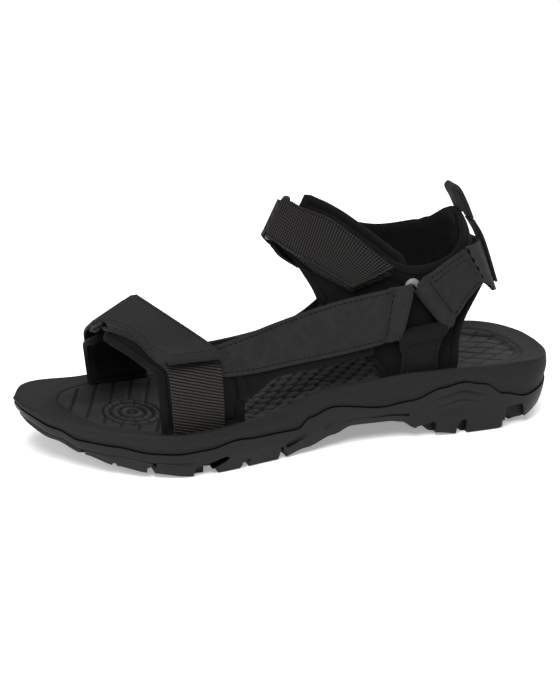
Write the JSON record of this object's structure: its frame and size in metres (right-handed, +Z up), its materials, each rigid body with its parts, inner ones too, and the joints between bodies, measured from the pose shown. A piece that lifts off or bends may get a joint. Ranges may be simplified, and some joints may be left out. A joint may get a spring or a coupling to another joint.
{
  "type": "sport sandal",
  "caption": "Strappy sport sandal for the left foot with a lugged sole, webbing straps through plastic rings, hook-and-loop tabs and a padded heel collar.",
  "frame": {"origin": "middle of the sole's box, on the ground under the tread", "axes": "+X points to the toe, +Y to the outer side of the foot, +Z up"},
  "size_m": [0.294, 0.1066, 0.1303],
  "materials": {
    "outsole_rubber": "matte moulded rubber",
    "midsole_foam": "matte moulded foam with a fine grain",
    "footbed_foam": "matte foam with a moulded grip texture",
    "nubuck": "napped synthetic nubuck",
    "webbing": "woven polyester webbing",
    "neoprene": "knit-faced padding with bound edges",
    "ring_plastic": "satin moulded plastic",
    "hook_tape": "stiff hook tape",
    "loop_tape": "brushed loop tape"
  },
  "bodies": {
    "sandal": {"outsole": "outsole_rubber", "midsole": "midsole_foam", "footbed": "footbed_foam", "forefoot_webbing": "webbing", "forefoot_loop_patch": "loop_tape", "forefoot_ring": "ring_plastic", "forefoot_anchor": "webbing", "forefoot_lining_outer": "neoprene", "forefoot_lining_inner": "neoprene", "ankle_webbing": "webbing", "ankle_loop_patch": "loop_tape", "ankle_ring": "ring_plastic", "ankle_anchor": "webbing", "ankle_lining_outer": "neoprene", "ankle_lining_inner": "neoprene", "triangle_ring_outer": "ring_plastic", "triangle_ring_inner": "ring_plastic", "side_strap_outer": "nubuck", "side_strap_inner": "nubuck", "side_lining_outer": "neoprene", "side_lining_inner": "neoprene", "sling_strap_outer": "nubuck", "sling_strap_inner": "nubuck", "sling_lining_outer": "neoprene", "sling_lining_inner": "neoprene", "heel_strap_outer": "nubuck", "heel_strap_inner": "nubuck", "heel_webbing": "webbing", "heel_collar": "neoprene", "heel_tape": "webbing"},
    "forefoot_flap": {"forefoot_tab": "webbing", "forefoot_hook_patch": "hook_tape"},
    "ankle_flap": {"ankle_tab": "webbing", "ankle_hook_patch": "hook_tape"},
    "pull_tab": {"pull_loop": "webbing"}
  },
  "joints": [
    {"name": "forefoot_tab_peel", "type": "hinge", "parent": "sandal", "child": "forefoot_flap", "pos_m": [0.08931, -0.01127, 0.07553], "axis": [0.848, 0.4444, -0.2888], "range_deg": [0, 140]},
    {"name": "ankle_tab_peel", "type": "hinge", "parent": "sandal", "child": "ankle_flap", "pos_m": [0.00568, -0.00141, 0.11888], "axis": [0.4856, 0.1135, -0.8668], "range_deg": [0, 140]},
    {"name": "pull_loop_tilt", "type": "hinge", "parent": "sandal", "child": "pull_tab", "pos_m": [-0.1043, 0, 0.1106], "axis": [0, -1, 0], "range_deg": [0, 60]}
  ]
}
